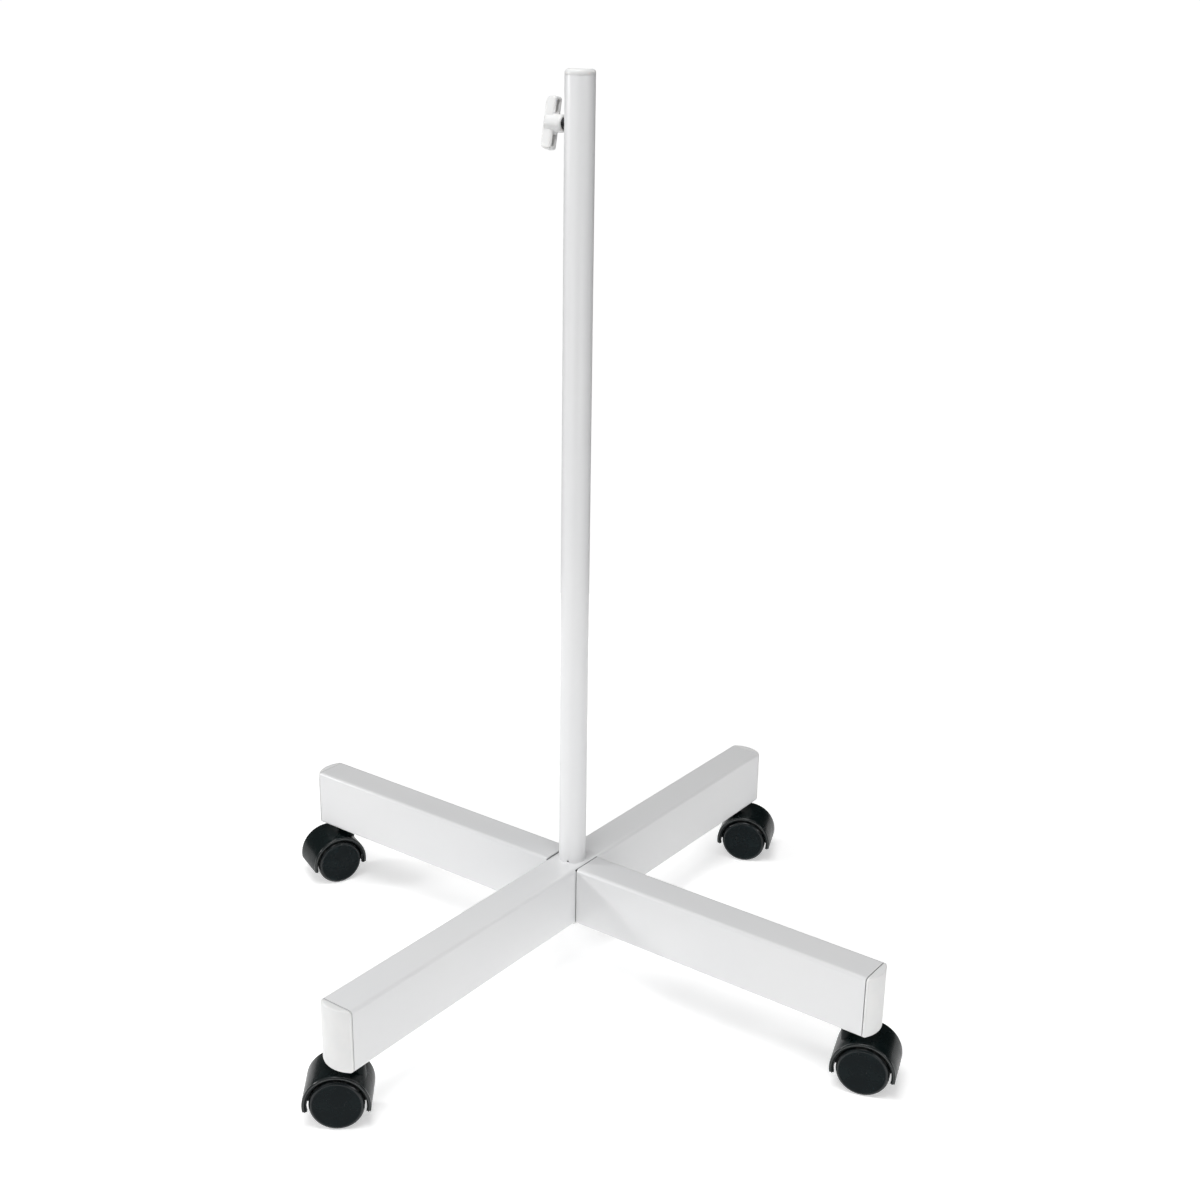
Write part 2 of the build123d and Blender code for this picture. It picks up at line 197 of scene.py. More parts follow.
class Nodes:
    """One material's node tree, with short ways to add what the finishes need."""

    def __init__(self, name):
        self.material = bpy.data.materials.new(name)
        self.material.use_nodes = True
        self.tree = self.material.node_tree
        self.shader = self.tree.nodes["Principled BSDF"]
        self.place = self.tree.nodes.new("ShaderNodeTexCoord").outputs["Object"]

    def link(self, source, target):
        self.tree.links.new(source, target)

    def constants(self, **values):
        """Fixed shader settings, by their names with underscores for spaces."""
        for key, value in values.items():
            self.shader.inputs[key.replace("_", " ")].default_value = value

    def noise(self, scale, detail=2.0, stretch=None):
        """Noise of the given cycles per metre, in place on the object."""
        noise = self.tree.nodes.new("ShaderNodeTexNoise")
        noise.inputs["Scale"].default_value = scale
        noise.inputs["Detail"].default_value = detail
        place = self.place
        if stretch:
            mapping = self.tree.nodes.new("ShaderNodeMapping")
            mapping.inputs["Scale"].default_value = stretch
            self.link(place, mapping.inputs["Vector"])
            place = mapping.outputs["Vector"]
        self.link(place, noise.inputs["Vector"])
        return noise.outputs["Fac"]

    def cells(self, scale):
        """Rounded cells, for spark-eroded mould grain."""
        cells = self.tree.nodes.new("ShaderNodeTexVoronoi")
        cells.feature = "SMOOTH_F1"
        cells.inputs["Scale"].default_value = scale
        self.link(self.place, cells.inputs["Vector"])
        return cells.outputs["Distance"]

    def between(self, source, low, high, at_low, at_high):
        """The range map of a source in this tree."""
        return range_map(self.tree, source, low, high, at_low, at_high)

    def maths(self, operation, *values):
        """An operation on one or two values, each a number or a socket."""
        node = self.tree.nodes.new("ShaderNodeMath")
        node.operation = operation
        for socket, value in zip(node.inputs, values):
            if isinstance(value, (int, float)):
                socket.default_value = value
            else:
                self.link(value, socket)
        return node.outputs["Value"]

    def blend(self, factor, first, second):
        """Colour first where the factor is 0, second where it is 1."""
        mix = self.tree.nodes.new("ShaderNodeMix")
        mix.data_type = "RGBA"
        self.link(factor, mix.inputs["Factor"])
        for key, value in (("A", first), ("B", second)):
            socket = next(s for s in mix.inputs if s.name == key and s.type == "RGBA")
            if isinstance(value, tuple):
                socket.default_value = (*value, 1)
            else:
                self.link(value, socket)
        return next(s for s in mix.outputs if s.type == "RGBA")

    def along(self, axis):
        """The place's coordinate on one of the object's axes."""
        split = self.tree.nodes.new("ShaderNodeSeparateXYZ")
        self.link(self.place, split.inputs["Vector"])
        return split.outputs[axis]

    def radius(self):
        """Distance from the object's Z axis."""
        flat = self.tree.nodes.new("ShaderNodeVectorMath")
        flat.operation = "MULTIPLY"
        flat.inputs[1].default_value = (1, 1, 0)
        self.link(self.place, flat.inputs[0])
        length = self.tree.nodes.new("ShaderNodeVectorMath")
        length.operation = "LENGTH"
        self.link(flat.outputs["Vector"], length.inputs[0])
        return length.outputs["Value"]

    def bump(self, height, strength, depth):
        """Relief of a height signal, depth in metres. Calls stack on one another."""
        bump = self.tree.nodes.new("ShaderNodeBump")
        bump.inputs["Strength"].default_value = strength
        bump.inputs["Distance"].default_value = depth
        self.link(height, bump.inputs["Height"])
        normal = self.shader.inputs["Normal"]
        if normal.is_linked:
            self.link(normal.links[0].from_socket, bump.inputs["Normal"])
        self.link(bump.outputs["Normal"], normal)

    def seam_shaded(self, tone, seam):
        """The tone, darkened with painted shade where the distance from the YZ plane lies within a seam's
        first two limits and the distance from the XZ plane is under its third."""
        if seam is None:
            return tone
        away = self.maths("ABSOLUTE", self.along("X"))
        beside = self.maths("ABSOLUTE", self.along("Y"))
        low, high, reach = seam
        past_low = self.between(away, low - SEAM_PAINTED_SHADE_FADE, low + SEAM_PAINTED_SHADE_FADE, 0, 1)
        before_high = self.between(away, high - SEAM_PAINTED_SHADE_FADE, high + SEAM_PAINTED_SHADE_FADE, 1, 0)
        within_reach = self.between(beside, reach - SEAM_PAINTED_SHADE_FADE, reach + SEAM_PAINTED_SHADE_FADE, 1, 0)
        inside = self.maths("MULTIPLY", past_low, before_high)
        inside = self.maths("MULTIPLY", inside, within_reach)
        return self.blend(inside, tone, SEAM_PAINTED_SHADE)

    def colour(self, source):
        self.link(source, self.shader.inputs["Base Color"])

    def roughness(self, source):
        self.link(source, self.shader.inputs["Roughness"])

    def polish(self, source):
        """How much of a glossy skin the surface has, from place to place."""
        self.link(source, self.shader.inputs["Coat Weight"])


def powder_coat(name="white_powder_coat", seam=None, painted_light_shift=0.0):
    """White polyester powder: fine orange peel over a semi-gloss film, with faint clouding.
    A seam gives the limits of the joint that painted shade darkens; the last argument is added to the tone as
    painted light, and below 0 as painted shade."""
    m = Nodes(name)
    m.constants(IOR=1.5, Coat_Weight=0.15, Coat_Roughness=0.16)
    clouds = m.between(m.noise(7, 2), 0.25, 0.75, 0, 1)
    low, high = (0.752, 0.757, 0.765), (0.772, 0.774, 0.777)
    # painted light and shade: the shift moves the whole tone up for lit copies and down for shaded copies
    tone = m.blend(clouds, tuple(v + painted_light_shift for v in low), tuple(v + painted_light_shift for v in high))
    # painted shade in the joint, where a seam is given
    m.colour(m.seam_shaded(tone, seam))
    m.roughness(m.between(m.noise(18, 3), 0.25, 0.75, 0.3, 0.37))
    m.bump(m.noise(420, 2), 0.3, 0.00005)
    m.bump(m.noise(1300, 1), 0.25, 0.00002)
    return m.material


def white_plastic(name="white_plastic", seam=None):
    """Injection-moulded white plastic, slightly softer and duller than the powder coat."""
    m = Nodes(name)
    m.constants(IOR=1.49, Subsurface_Weight=0.08, Subsurface_Scale=0.002)
    m.shader.inputs["Subsurface Radius"].default_value = (1.0, 0.9, 0.8)
    clouds = m.between(m.noise(60, 3), 0.3, 0.7, 0, 1)
    tone = m.blend(clouds, (0.785, 0.788, 0.785), (0.81, 0.809, 0.802))
    # painted shade in the cap's joint, where a seam is given
    m.colour(m.seam_shaded(tone, seam))
    m.roughness(m.between(m.noise(150, 3), 0.3, 0.7, 0.33, 0.45))
    m.bump(m.cells(2600), 0.25, 0.00002)
    return m.material


POLISHED_ROLL = (0.0158, 0.0168)       # the hood's polish rises between these, from its middle plane
POLISHED_EDGE = (0.0172, 0.018)        # the wheel's polish rises between these radii
WORN_TREAD = (0.0192, 0.01985)         # the wheel's wear rises between these radii
TURNED_RING = 0.0006                   # from one ring on the wheel's face to the next


def hood_plastic():
    """Black nylon with mould grain, glossier on the rolled rim, and a little settled dust."""
    m = Nodes("black_hood_plastic")
    m.constants(IOR=1.5, Specular_IOR_Level=0.06, Coat_Roughness=0.22)
    from_middle = m.maths("ABSOLUTE", m.along("Y"))
    m.polish(m.between(from_middle, *POLISHED_ROLL, 0.08, 0.9))
    rubbed = m.between(m.noise(45, 4), 0.35, 0.65, 0, 1)
    tone = m.blend(rubbed, (0.0025, 0.0058, 0.006), (0.0045, 0.0085, 0.0088))
    dust = m.between(m.noise(900, 2), 0.66, 0.76, 0, 0.35)
    m.colour(m.blend(dust, tone, (0.025, 0.028, 0.029)))
    m.roughness(m.between(rubbed, 0, 1, 0.24, 0.33))
    m.bump(m.cells(1900), 0.35, 0.00005)
    m.bump(m.noise(260, 3), 0.2, 0.00008)
    return m.material


def wheel_plastic():
    """Black nylon wheel: dull domed face with faint turned rings, glossier edge, scuffed tread."""
    m = Nodes("black_wheel_plastic")
    m.constants(IOR=1.5, Specular_IOR_Level=0.06, Coat_Roughness=0.22)
    radius = m.radius()
    m.polish(m.between(radius, *POLISHED_EDGE, 0.12, 0.7))
    scuffs = m.noise(320, 4, stretch=(1, 1, 0.25))
    tread = m.maths("MULTIPLY", m.between(radius, *WORN_TREAD, 0, 1), m.between(scuffs, 0.4, 0.7, 0.15, 0.75))
    cloud = m.between(m.noise(70, 4), 0.35, 0.65, 0, 1)
    tone = m.blend(cloud, (0.0005, 0.0036, 0.0048), (0.0015, 0.006, 0.0072))
    dust = m.between(m.noise(1100, 2), 0.66, 0.76, 0, 0.3)
    tone = m.blend(dust, tone, (0.028, 0.032, 0.033))
    m.colour(m.blend(tread, tone, (0.06, 0.058, 0.055)))
    smooth_part = m.between(cloud, 0, 1, 0.21, 0.29)
    m.roughness(m.maths("ADD", smooth_part, m.maths("MULTIPLY", tread, 0.35)))
    rings = m.maths("SINE", m.maths("MULTIPLY", radius, 2 * math.pi / TURNED_RING))
    m.bump(rings, 0.05, 0.00002)
    m.bump(m.cells(2400), 0.2, 0.00003)
    return m.material


def zinc():
    """Bright zinc plate with its fine crystal mottling and dull patches."""
    m = Nodes("zinc_steel")
    m.constants(Metallic=1.0)
    patches = m.between(m.noise(700, 4), 0.35, 0.65, 0, 1)
    m.colour(m.blend(patches, (0.52, 0.53, 0.54), (0.68, 0.68, 0.66)))
    m.roughness(m.between(m.noise(240, 4), 0.3, 0.7, 0.24, 0.42))
    m.bump(m.noise(1800, 2), 0.2, 0.00002)
    return m.material


def blackened_steel():
    """Blackened thread with brighter steel rubbed through."""
    m = Nodes("dark_steel")
    m.constants(Metallic=1.0)
    rubbed = m.between(m.noise(1400, 4), 0.52, 0.7, 0, 1)
    m.colour(m.blend(rubbed, (0.055, 0.055, 0.06), (0.22, 0.215, 0.21)))
    m.roughness(m.between(rubbed, 0, 1, 0.38, 0.27))
    m.bump(m.noise(2500, 2), 0.2, 0.00002)
    return m.material


def nylon():
    """Natural nylon of the clamp pad."""
    m = Nodes("natural_nylon")
    m.constants(Subsurface_Weight=0.25, Subsurface_Scale=0.003)
    clouds = m.between(m.noise(300, 3), 0.3, 0.7, 0, 1)
    m.colour(m.blend(clouds, (0.74, 0.71, 0.62), (0.82, 0.8, 0.73)))
    m.roughness(m.between(m.noise(600, 3), 0.3, 0.7, 0.38, 0.52))
    m.bump(m.cells(2200), 0.25, 0.00003)
    return m.material


LEG_WIDTH = 30.0
SEAM_GAP = 0.65               # open joint where a leg or a cap meets the next tube
SEAM_UNSHADED = 0.1              # the strip of that joint left without painted shade, at its outer side
CROSSING_EDGE = 0.85          # how far the painted shade comes in over the long leg's rounded edge
CROSSING_END = 0.3            # how far that painted shade stops short of the side legs' faces

# The limits of the painted shade in the joints, in metres from the piece's own middle planes.
LEG_END_SEAM = (LEG_WIDTH / 2 * MM, (LEG_WIDTH / 2 + SEAM_GAP - SEAM_UNSHADED) * MM, LEG_WIDTH * MM)
CROSSING_SEAM = ((LEG_WIDTH / 2 - CROSSING_EDGE) * MM, LEG_WIDTH * MM, (LEG_WIDTH / 2 - CROSSING_END) * MM)
CAP_END_SEAM = (-MM, (SEAM_GAP - SEAM_UNSHADED) * MM, LEG_WIDTH * MM)

FINISHES = {
    "white_powder_coat": powder_coat(),
    # Lit and shaded copies of the white powder coat, as painted light and shade: the side legs darker, the
    # long leg a little lighter and the mast lighter still; the legs and long leg also carry painted shade in
    # their joints.
    "leg_powder_coat": powder_coat("leg_powder_coat", LEG_END_SEAM, -0.02),
    "crossing_powder_coat_painted_light_and_shade": powder_coat("crossing_powder_coat_painted_light_and_shade", CROSSING_SEAM, 0.02),
    "mast_powder_coat_painted_light": powder_coat("mast_powder_coat_painted_light", None, 0.09),
    # the caps' plastic carries painted shade in its joint with the tube
    "cap_plastic": white_plastic("cap_plastic", CAP_END_SEAM),
    "white_plastic": white_plastic(),
    "black_hood_plastic": hood_plastic(),
    "black_wheel_plastic": wheel_plastic(),
    "zinc_steel": zinc(),
    "dark_steel": blackened_steel(),
    "natural_nylon": nylon(),
}


def finish_cad_nodes():
    """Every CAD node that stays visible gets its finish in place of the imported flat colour."""
    for node in frame["nodes"].values():
        for slot in node.material_slots:
            slot.material = FINISHES[slot.material.name.split(".")[0]]
    # The long leg and the mast take the lighter copies: painted light, with painted shade at the crossing.
    frame["nodes"]["long_leg"].material_slots[0].material = FINISHES["crossing_powder_coat_painted_light_and_shade"]
    frame["nodes"]["mast_tube"].material_slots[0].material = FINISHES["mast_powder_coat_painted_light"]


def piece(name, mesh, slot, body, node, matrix=None, finish=None):
    """A visible piece that stands for a CAD node and rides on its body."""
    obj = link(name, mesh, FINISHES[finish or slot])
    if matrix is not None:
        obj.matrix_world = matrix
    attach(obj, body)
    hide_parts(node)
    return obj


def axes(origin, x, y, z):
    """The matrix that puts a piece's own axes along three directions, at a place in metres."""
    matrix = Matrix((x, y, z)).transposed().to_4x4()
    matrix.translation = origin
    return matrix


# ---------------------------------------------------------------- legs and end caps

LEG_HEIGHT = 50.0
LEG_WALL = 1.5
LEG_CORNER = 3.0
LEAST_CORNER = 0.5
INSERT_HOLE_RADIUS = 6.55
SEAM_DEPTH = 1.0
SEAM_ROUNDING = 0.25
LEG_MIDDLE = 76.0             # height of the legs' centre line
CAP_LIP = 1.0
CAP_BULGE = 5.7
CAP_EDGE = 1.4
CAP_PLUG = 8.0
CASTER_INSET = 16.0           # from the tube's end to the caster's swivel axis
PLUG_INSET = 1.55
PLUG_WALL = 2.0
CORNER_STEPS = 8
FACE_STEPS = 24


def leg_outline(inset):
    """Upper half of the leg's outline as (across, height above centre), inset all round."""
    corner = max(LEG_CORNER - inset, LEAST_CORNER)
    half_width = LEG_WIDTH / 2 - inset
    half_height = LEG_HEIGHT / 2 - inset
    points = arc((corner - half_width, half_height - corner), corner, 180, 90, CORNER_STEPS)
    straight = 2 * (half_width - corner)
    for step in range(1, FACE_STEPS):
        points.append((corner - half_width + straight * step / FACE_STEPS, half_height))
    points += arc((half_width - corner, half_height - corner), corner, 90, 0, CORNER_STEPS)
    return points


def cap_rise(across):
    """How far the cap's curved face stands out at a distance from its middle."""
    radius = (LEG_WIDTH**2 / 4 + CAP_BULGE**2) / (2 * CAP_BULGE)
    return CAP_LIP + CAP_BULGE - radius + math.sqrt(radius**2 - across**2)


def seam_profile():
    """From the outer face in: (inset, height) down the rounded edge and the slot to height 0."""
    rounding = SEAM_ROUNDING
    profile = []
    for angle in (0, 30, 60, 90):
        turn = math.radians(angle)
        inset = rounding * (1 - math.cos(turn))
        profile.append((inset, SEAM_GAP + rounding * (1 - math.sin(turn))))
    profile += [(SEAM_DEPTH, SEAM_GAP), (SEAM_DEPTH, 0)]
    return profile


def ring_points(inset, along):
    """The leg's whole outline at a distance along it, as points and in ring order."""
    half = leg_outline(inset)
    upper = [(along, across, high) for across, high in half]
    return upper + [(along, across, -high) for across, high in reversed(half)]


def side_leg_mesh(reach):
    """A side leg along X, out to a reach. Its inner end has an open slot all round, against the
    long leg, and the caster's insert comes up through its lower wall."""
    start = LEG_WIDTH / 2
    profile = [(inset, start + height) for inset, height in reversed(seam_profile())]
    profile += [(0, reach), (LEG_WALL, reach), (LEG_WALL, start)]
    points, rings = [], []
    for inset, along in profile:
        ring = ring_points(inset, along)
        rings.append(list(range(len(points), len(points) + len(ring))))
        points += ring
    faces = []
    for ring_a, ring_b in zip(rings, rings[1:] + rings[:1]):
        faces += bridge(ring_a, ring_b)
    tube = mesh_from("side_leg", points, faces)
    insert_hole = round_bar("insert_hole", INSERT_HOLE_RADIUS, -LEG_HEIGHT, 0)
    place = Matrix.Translation(Vector((reach - CASTER_INSET, 0, 0)) * MM)
    mesh = combined(tube, [("DIFFERENCE", insert_hole, place)])
    smooth(mesh, 40)
    return mesh


def make_side_legs():
    """Both side legs in the places of their CAD nodes."""
    for name, direction in (("right", 1), ("left", -1)):
        low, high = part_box("side_leg_" + name)
        reach = (high.x if direction > 0 else -low.x) / MM
        x = Vector((direction, 0, 0))
        y = Vector((0, direction, 0))
        matrix = axes(Vector((0, 0, LEG_MIDDLE * MM)), x, y, Vector((0, 0, 1)))
        mesh = side_leg_mesh(reach)
        slot = "white_powder_coat"
        # the side legs get the darker copy of the powder coat: painted shade, with painted shade in their
        # joints too
        piece("leg_" + name, mesh, slot, "stand", "side_leg_" + name, matrix, "leg_powder_coat")


def cap_rings():
    """The cap's surface as (inset, height, on_face): the height is above the curved face where
    on_face is true, and above the tube's end where it isn't."""
    rings = []
    for angle in range(90, -1, -15):
        turn = math.radians(angle)
        rings.append((CAP_EDGE * (1 - math.cos(turn)), CAP_EDGE * (math.sin(turn) - 1), True))
    for inset, height in seam_profile():
        rings.append((inset, height, False))
    rings.append((PLUG_INSET, 0, False))
    rings.append((PLUG_INSET, -CAP_PLUG, False))
    rings.append((PLUG_INSET + PLUG_WALL, -CAP_PLUG, False))
    rings.append((PLUG_INSET + PLUG_WALL, 0, False))
    return rings


def cap_mesh():
    """An end cap with X outward, Z up and the tube's end at x = 0."""
    points, rings = [], []
    face_outline = leg_outline(CAP_EDGE)
    for inset, height, on_face in cap_rings():
        half = leg_outline(inset)
        ring = []
        for sign in (1, -1):
            order = range(len(half)) if sign > 0 else range(len(half) - 1, -1, -1)
            for i in order:
                out = cap_rise(face_outline[i][0]) + height if on_face else height
                ring.append(len(points))
                points.append((out, half[i][0], sign * half[i][1]))
        rings.append(ring)
    faces = []
    for ring_a, ring_b in zip(rings, rings[1:]):
        faces += bridge(ring_a, ring_b)
    half_count = len(face_outline)
    for ring in (rings[0], rings[-1]):
        upper = ring[:half_count]
        lower = ring[half_count:][::-1]
        for i in range(half_count - 1):
            faces.append((upper[i], upper[i + 1], lower[i + 1], lower[i]))
    mesh = mesh_from("end_cap", points, faces)
    smooth(mesh, 40)
    return mesh


def make_end_caps():
    """The four end caps in the places of their CAD nodes."""
    mesh = cap_mesh()
    outward = {"front": (0, -1), "right": (1, 0), "left": (-1, 0), "back": (0, 1)}
    for corner in CORNERS:
        low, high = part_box("end_cap_" + corner)
        x = Vector((*outward[corner], 0))
        y = Vector((0, 0, 1)).cross(x)
        reach = max(abs(low.dot(x)), abs(high.dot(x))) - (CAP_LIP + CAP_BULGE) * MM
        place = x * reach + Vector((0, 0, LEG_MIDDLE * MM))
        matrix = axes(place, x, y, Vector((0, 0, 1)))
        node = "end_cap_" + corner
        # the caps' finish has painted shade in the joint with the tube
        piece("cap_" + corner, mesh.copy(), "white_plastic", "stand", node, matrix, "cap_plastic")


# ---------------------------------------------------------------- mast collar

MAST_RADIUS = 11.0
MAST_TOP = 717.0
COLLAR_LOW = 712.8
COLLAR_SHOULDER = 2.6
COLLAR_SEAM = 0.4
POLE_BORE_RADIUS = 8.1
SLEEVE_RADIUS = 9.45
SLEEVE_LOW = 655.0
SLEEVE_CHAMFER = 0.4
MOUTH_ROUNDING = 0.35
SCREW_HEIGHT = 679.5
SCREW_HOLE = 5.55


def make_collar():
    """The plastic sleeve in the mast's mouth, rounded above the tube, with its hole for the screw."""
    chamfer = SLEEVE_CHAMFER
    mouth = (POLE_BORE_RADIUS + MOUTH_ROUNDING, MAST_TOP - MOUTH_ROUNDING)
    outline = [(POLE_BORE_RADIUS, SLEEVE_LOW + chamfer), (POLE_BORE_RADIUS, mouth[1])]
    outline += arc(mouth, MOUTH_ROUNDING, 180, 90, 4)[1:]
    shoulder = (MAST_RADIUS - COLLAR_SHOULDER, MAST_TOP - COLLAR_SHOULDER)
    outline += arc(shoulder, COLLAR_SHOULDER, 90, 0, 10)
    seam = (MAST_RADIUS - COLLAR_SEAM, COLLAR_LOW + COLLAR_SEAM)
    outline += arc(seam, COLLAR_SEAM, 0, -90, 5)
    outline += [(SLEEVE_RADIUS, COLLAR_LOW), (SLEEVE_RADIUS, SLEEVE_LOW + chamfer)]
    outline += [(SLEEVE_RADIUS - chamfer, SLEEVE_LOW), (POLE_BORE_RADIUS + chamfer, SLEEVE_LOW)]
    sleeve = turned("mast_collar", outline, 128)
    hole = round_bar("screw_hole", SCREW_HOLE, 0, 2 * MAST_RADIUS)
    mesh = combined(sleeve, [("DIFFERENCE", hole, screw_axes())])
    smooth(mesh, 35)
    piece("mast_collar", mesh, "white_plastic", "stand", "mast_bush")


# ---------------------------------------------------------------- wing screw

WING_LEAN = 12.0              # degrees from upright at rest
WING_HALF_SPAN = 18.7
WING_START = 21.0             # from the mast's axis, as all lengths along the screw
WING_END = 30.0
WING_THICKNESS = 8.6
WING_NEAR_CORNER = 2.0
WING_FAR_CORNER = 4.6
WING_EDGE = 1.7
KNOB_START = 13.6
KNOB_RADIUS = 6.35
KNOB_SETBACK = 1.6            # from the wings' outer face in to the hub's
KNOB_EDGE = 1.8
KNOB_BORE_RADIUS = 4.1
MELT_VOXEL = 0.00024          # metres
POCKET_INSIDE = 7.6
POCKET_OUTSIDE = 16.4
POCKET_WIDTH = 3.4
POCKET_DEPTH = 6.0
THREAD_PITCH = 1.25
THREAD_OUTSIDE = 3.97
THREAD_ROOT = 3.4
STUD_TIP = 9.35
STUD_END = 25.0
SPIGOT_HOLE = 1.56
SPIGOT_DEPTH = 2.9


def screw_axes():
    """Screw's own axes: Z out of the mast, X along the upper wing."""
    lean = math.radians(WING_LEAN)
    x = Vector((0, math.sin(lean), math.cos(lean)))
    z = Vector((-1, 0, 0))
    return axes(Vector((0, 0, SCREW_HEIGHT * MM)), x, z.cross(x), z)


def wing_plate():
    """Both wings as one plate seen from the side: large outer corners, small ones to the mast."""
    near, far = WING_NEAR_CORNER, WING_FAR_CORNER
    half = WING_HALF_SPAN
    side = arc((half - near, WING_START + near), near, -90, 0, 6)
    side += arc((half - far, WING_END - far), far, 0, 78, 8)
    waist = [(KNOB_RADIUS + 1.0, WING_END - 0.05), (0, WING_END - 0.1)]
    right = side + waist
    left = [(-x, z) for x, z in reversed(right[:-1])]
    outline = right + left
    middle = Vector((0, (WING_START + WING_END) / 2))
    points, rings = [], []
    half_thick = WING_THICKNESS / 2
    for sign in (-1, 1):
        turns = [90, 68, 45, 22, 0] if sign < 0 else [0, 22, 45, 68, 90]
        for turn in turns:
            angle = math.radians(turn)
            inset = WING_EDGE * (1 - math.cos(angle))
            across = sign * (half_thick - WING_EDGE * (1 - math.sin(angle)))
            scale_x = (half - inset) / half
            scale_z = 1 - inset / (WING_END - WING_START) * 2
            ring = []
            for x, z in outline:
                offset = Vector((x, z)) - middle
                ring.append(len(points))
                points.append((offset.x * scale_x, across, middle.y + offset.y * scale_z))
            rings.append(ring)
    faces = []
    for ring_a, ring_b in zip(rings, rings[1:]):
        faces += bridge(ring_a, ring_b)
    faces.append(tuple(rings[0]))
    faces.append(tuple(reversed(rings[-1])))
    return mesh_from("wings", points, faces)


def knob_mesh():
    """The moulded wing knob: plate, hub and pockets melted together with soft fillets."""
    hub = round_bar("hub", KNOB_RADIUS, KNOB_START, WING_END - KNOB_SETBACK, KNOB_EDGE, 72)
    still = Matrix.Identity(4)
    steps = [("UNION", hub, still)]
    for low, high in ((-POCKET_OUTSIDE, -POCKET_INSIDE), (POCKET_INSIDE, POCKET_OUTSIDE)):
        pocket = block(
            "pocket",
            (low, -POCKET_WIDTH / 2, WING_START - 1),
            (high, POCKET_WIDTH / 2, WING_START + POCKET_DEPTH),
        )
        steps.append(("DIFFERENCE", pocket, still))
    bore = round_bar("bore", KNOB_BORE_RADIUS, KNOB_START - 2, STUD_END + 0.2)
    steps.append(("DIFFERENCE", bore, still))
    body = bpy.data.objects.new("knob_body", combined(wing_plate(), steps))
    bpy.context.scene.collection.objects.link(body)
    remesh = body.modifiers.new("melt", "REMESH")
    remesh.mode = "VOXEL"
    remesh.voxel_size = MELT_VOXEL
    soften = body.modifiers.new("soften", "SMOOTH")
    soften.factor = 0.5
    soften.iterations = 8
    bpy.context.view_layer.update()
    mesh = applied(body)
    bpy.data.objects.remove(body)
    mesh.shade_smooth()
    return mesh


def thread_radius(phase):
    """Radius of the thread at a phase 0 to 1 of its pitch: crest, flank, root, flank."""
    crest, root = 0.14, 0.2
    away = min(phase, 1 - phase)
    fall = (away - crest / 2) / ((1 - crest - root) / 2)
    fall = min(max(fall, 0), 1)
    return THREAD_OUTSIDE + (THREAD_ROOT - THREAD_OUTSIDE) * fall


def stud_mesh():
    """The stud with its helical thread, coned tip and blind hole for the pad's spigot."""
    around, rows_a_turn, cone = 48, 14, 0.9
    rows = int((STUD_END - STUD_TIP) / THREAD_PITCH * rows_a_turn)
    points, rings = [], []

    def add_ring(height, radius_at):
        rings.append(list(range(len(points), len(points) + around)))
        for step in range(around):
            turn = step / around
            radius = radius_at(turn, height)
            angle = 2 * math.pi * turn
            points.append((radius * math.cos(angle), radius * math.sin(angle), height))

    def threaded(turn, height):
        from_end = min(height - STUD_TIP, STUD_END - height)
        limit = THREAD_OUTSIDE - cone + min(from_end, cone)
        return min(thread_radius((height / THREAD_PITCH - turn) % 1), limit)

    add_ring(STUD_TIP + SPIGOT_DEPTH, lambda turn, height: SPIGOT_HOLE)
    add_ring(STUD_TIP, lambda turn, height: SPIGOT_HOLE)
    for row in range(rows + 1):
        add_ring(STUD_TIP + (STUD_END - STUD_TIP) * row / rows, threaded)
    faces = []
    for ring_a, ring_b in zip(rings, rings[1:]):
        faces += bridge(ring_a, ring_b)
    faces.append(tuple(rings[0]))
    faces.append(tuple(rings[-1]))
    mesh = mesh_from("stud", points, faces)
    smooth(mesh, 50)
    return mesh


def make_wing_screw():
    """The knob and its threaded stud."""
    matrix = screw_axes()
    piece("wing_grip", knob_mesh(), "white_plastic", "wing_screw", "wing_knob", matrix)
    piece("screw_thread", stud_mesh(), "dark_steel", "wing_screw", "clamp_stud", matrix)


# ---------------------------------------------------------------- casters

TRAIL = 13.0
WHEEL_RADIUS = 20.0
WHEEL_OUTSIDE = 17.8
WHEEL_INSIDE = 7.8
HOOD_RADIUS = 24.8
HOOD_WALL = 2.0
HOOD_INSIDE = 21.4            # radius of the side openings
HOOD_FACE = 17.9              # middle plane to the rolled rim's outermost line
ROLL_RADIUS = 1.15
FLANGE_SETBACK = 1.9
FLANGE_THICKNESS = 2.4
HOOD_OVERHANG = 13.7          # degrees that the hood's ends reach below the axle's height
HOOD_SETTLE = 9.0             # degrees in which a rounded tip passes into the plain arch
TIP_EDGE = 0.5
TIP_CORNER = 1.7
WEB_HALF = 2.5
WEB_EDGE = 0.6
BOSS_RADIUS = 7.0
BOSS_LOW = 17.0
BOSS_TOP = 46.9
PIVOT_HOLE = 4.06
PIVOT_LOW = 21.5
AXLE_BOSS_RADIUS = 6.0
AXLE_BOSS_HALF = 7.3
BOSS_EDGE = 1.0
AXLE_BOSS_EDGE = 0.5
AXLE_HOLE = 2.55
WHEEL_FACE = 17.6             # middle plane to the wheel's outer face at its middle
WHEEL_DOME = 0.5
WHEEL_EDGE = 2.6
WHEEL_RIM = 2.6
WHEEL_RECESS = 14.4           # middle plane to the bottom of the hollow
RECESS_ROUNDING = 0.8
LIP_ROUNDING = 0.4
TREAD_ROUNDING = 1.0
HUB_RADIUS = 5.6
PIP_RADIUS = 1.1
WHEEL_BORE = 2.56
WHEEL_BORE_CHAMFER = 0.35
WHEEL_BORE_END = 15.3
RIB_COUNT = 8
RIB_HALF = 0.7
RIB_LOW = 9.3


